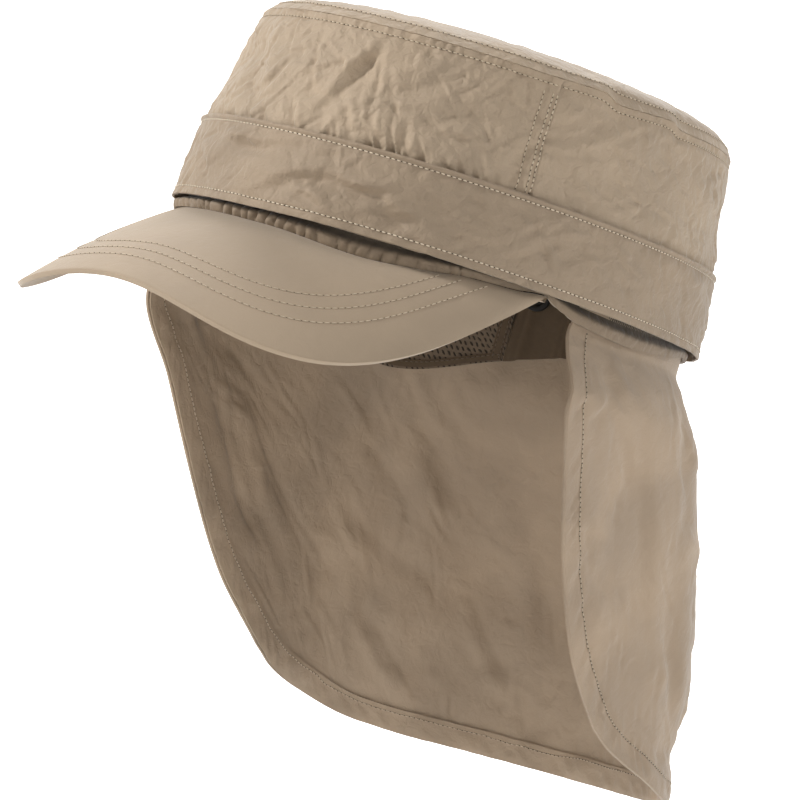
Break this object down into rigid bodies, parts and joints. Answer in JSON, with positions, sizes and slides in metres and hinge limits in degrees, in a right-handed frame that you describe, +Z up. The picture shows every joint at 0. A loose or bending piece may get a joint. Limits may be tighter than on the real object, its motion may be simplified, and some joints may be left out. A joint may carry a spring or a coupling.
{
  "type": "sun cap with neck flap",
  "caption": "Soft flat-topped sun cap with a curved stiff peak, a turned-up band and a long neck flap that hangs from the rim, modelled as worn.",
  "frame": {"origin": "middle of the head opening, level with the lower edge of the outer band", "axes": "+Z up through the crown, -Y towards the peak, +X towards the wearer's left"},
  "size_m": [0.1913, 0.3269, 0.2418],
  "materials": {
    "cap_cloth": "crinkled nylon, matt with a slight sheen",
    "band_cloth": "crinkled nylon, matt with a slight sheen",
    "flap_cloth": "thin crinkled nylon, matt",
    "lining_mesh": "fine knitted mesh, matt",
    "lining_cloth": "plain nylon, matt",
    "stud_plastic": "satin black"
  },
  "bodies": {
    "root": {"crown_top": "cap_cloth", "crown_front": "cap_cloth", "crown_back": "cap_cloth", "outer_band": "band_cloth", "inner_band": "band_cloth", "sweatband": "lining_mesh", "back_casing": "lining_cloth", "peak": "cap_cloth", "neck_flap": "flap_cloth", "flap_hem": "flap_cloth", "snap_stud": "stud_plastic"}
  },
  "joints": []
}
